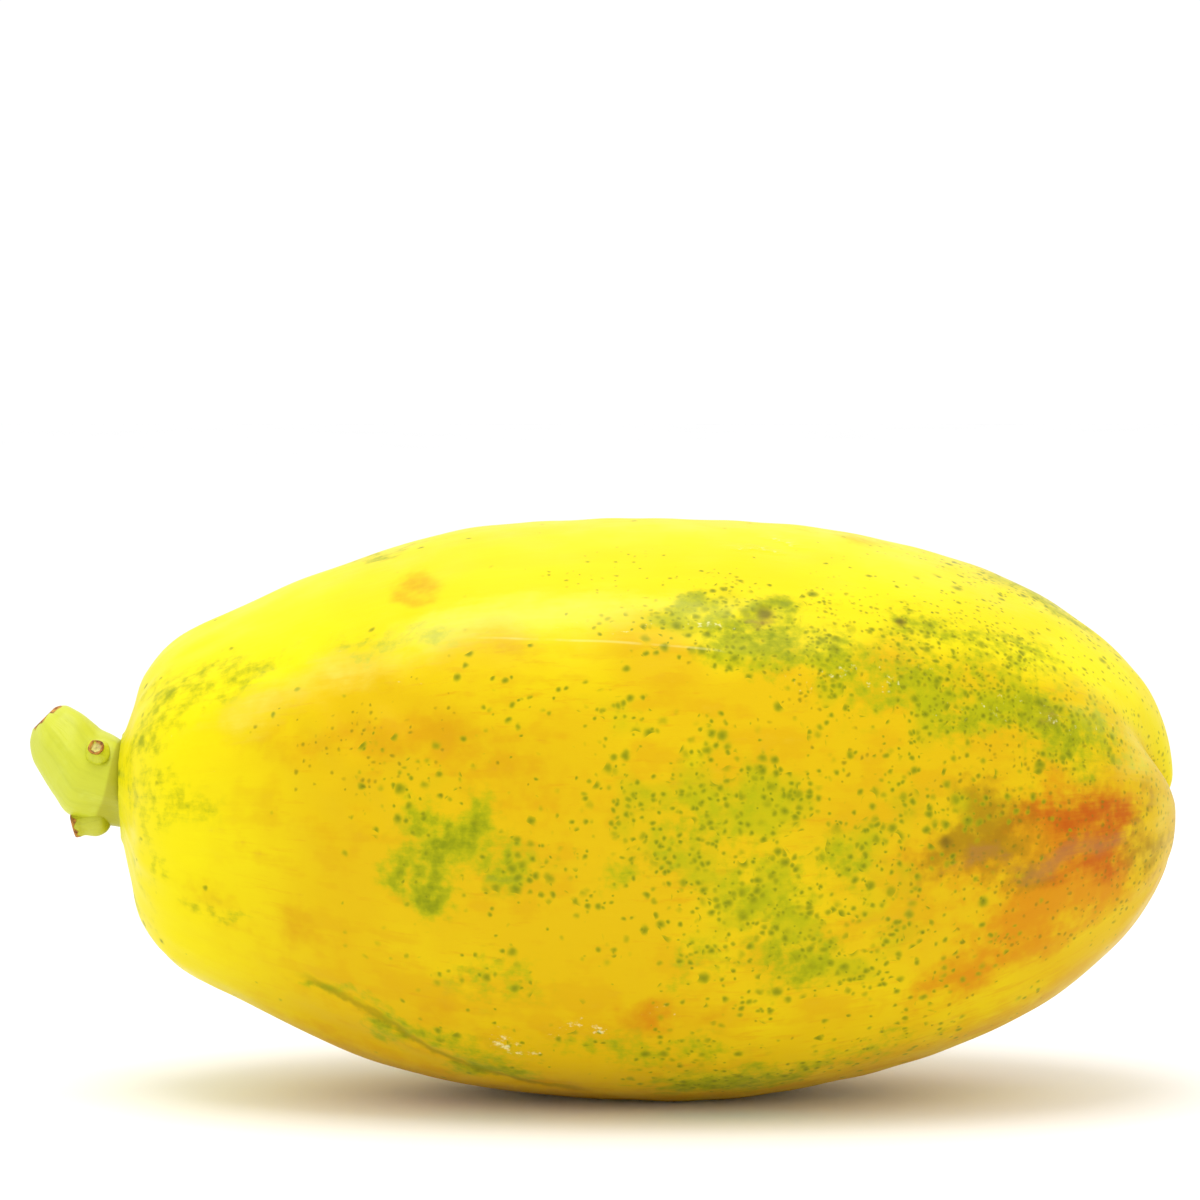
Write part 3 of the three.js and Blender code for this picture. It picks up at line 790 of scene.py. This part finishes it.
# %% Stalk: rings
STALK = np.array([  # distance from the rim, depth, height over the table, radius, lean in degrees
    [6.1, 0, 73.6, 8.0, 0], [2.2, 0, 73.1, 10.0, 0], [-1.2, 0, 74.2, 10.9, 0],
    [-5.7, 0, 75.6, 10.8, 7], [-9.1, 0.2, 77.0, 10.9, 17], [-11.7, 0.4, 80.1, 10.1, 20.5],
    [-14.2, 0.7, 83.2, 8.8, 27.5], [-16.3, 1.0, 85.5, 7.6, 33], [-17.6, 1.3, 87.4, 5.75, 39.5],
    [-17.9, 1.5, 88.8, 3.9, 44.5], [-17.8, 1.5, 89.05, 3.2, 45.5],
])
rings = np.vstack([STALK[:1], STALK, STALK[-1:]])


def carried(t, share, sunk, angle, extra):
    """Rings along the stalk. A ring leaning back by lean faces (-cos lean, 0, sin lean), its up is
    (sin lean, 0, cos lean), and a point on it is middle + reach x (front x cos angle + up x sin
    angle), where reach = share x (radius + extra). sunk moves the ring back in."""
    ring = curve_through(rings, t)[0]
    lean = np.radians(ring[:, 4])
    facing = np.stack([-np.cos(lean), 0 * lean, np.sin(lean)], axis=-1)
    up = np.stack([np.sin(lean), 0 * lean, np.cos(lean)], axis=-1)[:, None]
    a = np.radians(angle)[None, :, None]
    reach = (share[:, None] * (ring[:, 3:4] + extra))[..., None]
    middle = ring[:, :3] - facing * sunk[:, None] - [REST_STATION, 0, 0]
    return middle[:, None] + reach * (np.array([0, -1, 0]) * np.cos(a) + up * np.sin(a))


# %% [markdown]
# The rows of the stalk's grid run from the middle of the hidden foot, up the side, over a small
# shrunken lip and down into the sunken cut face. Five broad ribs and a finer random waviness keep
# the side from looking turned, and low on the front of the foot the bark folds in.

# %% Stalk: surface
STALK_SIDES, SIDE_ROWS, FACE_ROWS = 144, 120, 18
CUT_DISH = 0.85  # the dried cut end has sunk this far, in mm
RIB_HEIGHT, FOLD_DEPTH = 0.28, 1.8
side = np.linspace(0, 1, SIDE_ROWS)
face = np.linspace(0, 1, FACE_ROWS)[1:]
t = np.concatenate([[0], side, np.ones(len(face))])
share = np.concatenate([[0], np.ones(len(side)), 1 - face])
sunk = np.concatenate([np.zeros(len(side) + 1), CUT_DISH * fade(face, 0.02, 0.35)])
stalk_angle = np.arange(STALK_SIDES) * 360 / STALK_SIDES
free = fade(t, 0.02, 0.2)[:, None]
dried = fade(t, 0.9, 1.0)[:, None]
ribs = RIB_HEIGHT * np.cos(np.radians(5 * stalk_angle))[None, :] * np.sin(np.pi * t)[:, None]
ribs = ribs + 0.16 * free * waves(30 * t[:, None], stalk_angle[None, :], 6, 12, 12, 21)
ribs = ribs + 0.2 * dried * waves(30 * t[:, None], stalk_angle[None, :], 15, 3, 16, 22)
fold = np.exp(-(((t[:, None] - 0.2) / 0.09) ** 2) - (turn(-44, stalk_angle[None, :]) / 24) ** 2)
ribs = ribs - FOLD_DEPTH * fold
stalk_points = carried(t, share, sunk, stalk_angle, ribs)
on_face = np.concatenate([np.zeros(len(side) + 1), np.ones(len(face))])[:, None]
upper = np.sin(np.radians(stalk_angle))[None, :]
cork_edge = 0.03 * waves(30 * t[:, None], stalk_angle[None, :], 9, 8, 12, 23)
stalk_fields = {
    "cork": np.maximum(on_face, fade(t[:, None] + cork_edge + 0.05 * upper, 0.84, 0.9)),
    "pith": on_face * fade(-share[:, None], -0.75, -0.45),
    # painted shade: darker green low on the front of the foot, where it turns towards the fruit
    "deep": fade(0.277 - 0.00085 * np.abs(turn(-60, stalk_angle[None, :])) - t[:, None], 0, 0.014),
}
stalk_round = [np.cos(np.radians(stalk_angle))[None, :], upper, t[:, None]]
stalk_fields["round"] = np.stack(np.broadcast_arrays(*stalk_round), axis=-1)
stalk = closed_surface("stalk_body", stalk_points, stalk_fields)

# %% [markdown]
# Two short stubs are left where side stalks with other flowers broke away. Each is a turned peg with
# a rounded root inside the stalk, a waist, and a raised corky ring round a shallow hollow.
# Slight waviness round it keeps it from being a turned part.

# %% Stubs of the side stalks
STUB_ROWS, STUB_SIDES = 70, 56


def stub(name, root, towards, length, radius, tip, shade_share, seed):
    """A profile of places (distance along, distance out) turned round the direction towards, and
    each point pushed out by the share that random waves give. The argument before seed is how much
    painted shade its side gets."""
    profile = np.array([
        [0, 0], [0, 0.4 * radius], [0.06 * length, 0.76 * radius], [0.2 * length, 1.02 * radius],
        [0.45 * length, 1.02 * radius], [0.72 * length, 1.08 * tip], [0.86 * length, 1.1 * tip],
        [0.97 * length, 1.08 * tip], [length, 0.9 * tip], [0.94 * length, 0.72 * tip],
        [0.86 * length, 0.5 * tip], [0.87 * length, 0.2 * tip], [0.89 * length, 0],
    ])
    padded = np.vstack([profile[:1], profile, profile[-1:]])
    row_t, _ = evenly(padded, STUB_ROWS)
    along, out = curve_through(padded, row_t)[0].T[..., None]
    angle = np.arange(STUB_SIDES)[None, :] * 360 / STUB_SIDES
    out = np.maximum(out, 0) * (1 + 0.035 * waves(along * 4, angle, 5, 20, 10, seed))
    axis = np.array(towards) / np.linalg.norm(towards)
    first = np.cross(axis, [1, 0, 0.2])
    first /= np.linalg.norm(first)
    second = np.cross(axis, first)
    a = np.radians(angle)
    points = np.array(root) - [REST_STATION, 0, 0] + along[..., None] * axis
    points = points + (out * np.cos(a))[..., None] * first + (out * np.sin(a))[..., None] * second
    rim = fade(along / length + 0.05 * waves(0 * along, angle, 7, 20, 8, seed + 1), 0.84, 0.96)
    inside = (row_t[:, None] > row_t[np.argmax(along)]) * fade(-out / tip, -0.8, -0.55)
    # painted shade on the stub's side; the stub under the stalk's foot gets most of it
    fields = {"cork": rim, "pith": inside, "deep": shade_share + 0 * out, "round": np.stack(
        np.broadcast_arrays(np.cos(a), np.sin(a), 0.2 * along / length), axis=-1)}
    return closed_surface(name, points, fields)


stub_front = stub("stub_front", [-4.2, -7.7, 81.2], [-0.04, -0.89, 0.46], 4.6, 2.9, 1.7, 0.0, 31)
stub_below = stub("stub_below", [-2.3, -1.2, 65.7], [-0.95, -0.06, -0.25], 9, 3.5, 2.6, 0.6, 41)

# %% [markdown]
# ## Green stem
#
# The stalk is fresh, smooth stem bark: pale yellow-green, a little waxy, with fine darker streaks
# along it. Where it was cut it is dry brown cork with a straw-coloured middle. Its streaks use the
# same trick as the fruit's, blobs stretched along the length.

# %% Stem material
stem, net = fresh("green_stem")
place = add(net, "ShaderNodeTexCoord", give="Object")
mark = {key: add(net, "ShaderNodeAttribute", give="Fac", attribute_name=key)
        for key in ("cork", "pith", "deep")}
around = add(net, "ShaderNodeAttribute", give="Vector", attribute_name="round")
streak_place = add(net, "ShaderNodeMapping", {"Vector": around, "Scale": (1, 1, 0.5)},
                   vector_type="POINT")
streaks = add(net, "ShaderNodeTexNoise",
              {"Vector": streak_place, "Scale": 5.0, "Detail": 3.0, "Roughness": 0.6}, "Fac")
blotch = grain(net, place, 4, 3, 0.6)
grit = grain(net, place, 0.6, 3, 0.7)
colour = over(net, linear("#C9CE2E"), linear("#B4BA20"), cut(net, streaks, 0.42, 0.75, 0.0, 0.45))
colour = over(net, colour, linear("#D4DC5C"), cut(net, blotch, 0.5, 0.75, 0.0, 0.5))
# painted shade: darker olive green on the foot beside the fruit and on the lower stub
colour = over(net, colour, linear("#AAA40C"), maths(net, "MULTIPLY", mark["deep"], 0.7))
corky = cut(net, maths(net, "ADD", mark["cork"], around_zero(net, grit, 0.6)), 0.3, 0.75)
cork_colour = over(net, linear("#6E3C1A"), linear("#C88A34"), cut(net, grit, 0.35, 0.62))
colour = over(net, colour, cork_colour, corky)
colour = over(net, colour, linear("#E4D68C"), maths(net, "MULTIPLY", mark["pith"], 0.75))
lift = maths(net, "ADD", maths(net, "MULTIPLY", streaks, 0.2), maths(net, "MULTIPLY", grit, 0.03))
lift = maths(net, "ADD", lift, maths(net, "MULTIPLY", maths(net, "MULTIPLY", corky, grit), 0.35))
normal = add(net, "ShaderNodeBump", {"Strength": 1.0, "Distance": MM, "Height": lift})
gloss = maths(net, "ADD", 0.42, maths(net, "MULTIPLY", corky, 0.35))
shader = add(net, "ShaderNodeBsdfPrincipled", {
    "Base Color": colour, "Roughness": gloss, "Normal": normal, "IOR": 1.45})
add(net, "ShaderNodeOutputMaterial", {"Surface": shader})
for piece in (stalk, stub_front, stub_below):
    piece.data.materials.append(stem)
    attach(piece, "root")
    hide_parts("stalk")

# %% [markdown]
# ## Floor, light and camera
#
# The floor is matt and nearly white, under an even white sky. One large soft lamp above and in front
# makes the upper side brighter than the lower one, as in a light tent.

# %% Floor
FLOOR_HALF = 4  # m
FLOOR_DROP = 0.0002  # m under the resting spot, so that the two faces don't flicker
TILES = 8
paper, net = fresh("matt_floor")
place = add(net, "ShaderNodeTexCoord", give="Object")
tone = over(net, linear("#F6F6F6"), linear("#FBFBFB"), grain(net, place, 60, 2))
shader = add(net, "ShaderNodeBsdfPrincipled", {"Base Color": tone, "Roughness": 0.9})
add(net, "ShaderNodeOutputMaterial", {"Surface": shader})
edge = np.linspace(-FLOOR_HALF, FLOOR_HALF, TILES + 1)
across, deep = np.meshgrid(edge, edge)
ground = np.stack([across, deep, 0 * across - FLOOR_DROP], axis=-1).reshape(-1, 3)
corner = (np.arange(TILES)[:, None] * (TILES + 1) + np.arange(TILES)[None, :]).ravel()
tiles = np.stack([corner, corner + 1, corner + TILES + 2, corner + TILES + 1], axis=-1)
mesh = bpy.data.meshes.new("floor")
mesh.from_pydata(ground.tolist(), [], tiles.tolist())
floor = bpy.data.objects.new("floor", mesh)
bpy.context.scene.collection.objects.link(floor)
floor.data.materials.append(paper)
floor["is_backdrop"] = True

# %% Light
world = bpy.data.worlds.new("light_tent")
world.use_nodes = True
world.node_tree.nodes.clear()
sky = add(world.node_tree, "ShaderNodeBackground", {"Color": (1, 1, 1, 1), "Strength": 1.05})
add(world.node_tree, "ShaderNodeOutputWorld", {"Surface": sky})
bpy.context.scene.world = world


def lamp(name, at, aim, size, power):
    """A square area lamp at one point that faces another; both in metres."""
    light = bpy.data.lights.new(name, "AREA")
    light.size, light.energy = size, power
    made = bpy.data.objects.new(name, light)
    made.location = at
    made.rotation_euler = (Vector(aim) - Vector(at)).to_track_quat("-Z", "Y").to_euler()
    bpy.context.scene.collection.objects.link(made)
    return made


lamp("key", (-0.15, -0.2, 1.7), (0, 0, 0.07), 1.1, 13)
bpy.context.scene.view_settings.view_transform = "Standard"

# %% [markdown]
# The camera looks at the middle of the fruit from 1.4 m away and 6 degrees above it. In the
# picture that middle is right of and below the frame's centre, so the camera is turned a little
# to the left and up instead of being shifted.

# %% Camera
PICTURE, SENSOR = 1200, 36  # width in pixels, and in mm
FOCAL = 5883.5  # in pixels
MIDDLE = Vector((-3.72, 1.91, 68.1)) * MM
OFF_RIGHT, OFF_DOWN = 46.8, 205.6  # the middle's place from the picture's centre, in pixels
DISTANCE = 1.4
ABOVE = math.radians(6)
camera = bpy.data.objects.new("camera", bpy.data.cameras.new("camera"))
camera.data.sensor_width = SENSOR
camera.data.lens = FOCAL / PICTURE * SENSOR
camera.location = MIDDLE + DISTANCE * Vector((0, -math.cos(ABOVE), math.sin(ABOVE)))
pitch = -(ABOVE - math.atan(OFF_DOWN / FOCAL))
camera.rotation_euler = (math.pi / 2 + pitch, 0, math.atan(OFF_RIGHT / FOCAL))
bpy.context.scene.collection.objects.link(camera)
bpy.context.scene.camera = camera

# %% Boxes and finish
boxes = {"cad": cad_box, "visual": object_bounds()}
boxes = {name: [list(corner) for corner in box] for name, box in boxes.items()}
for name, (low, high) in boxes.items():
    print(name, "mm:", [round((b - a) / MM, 1) for a, b in zip(low, high)])
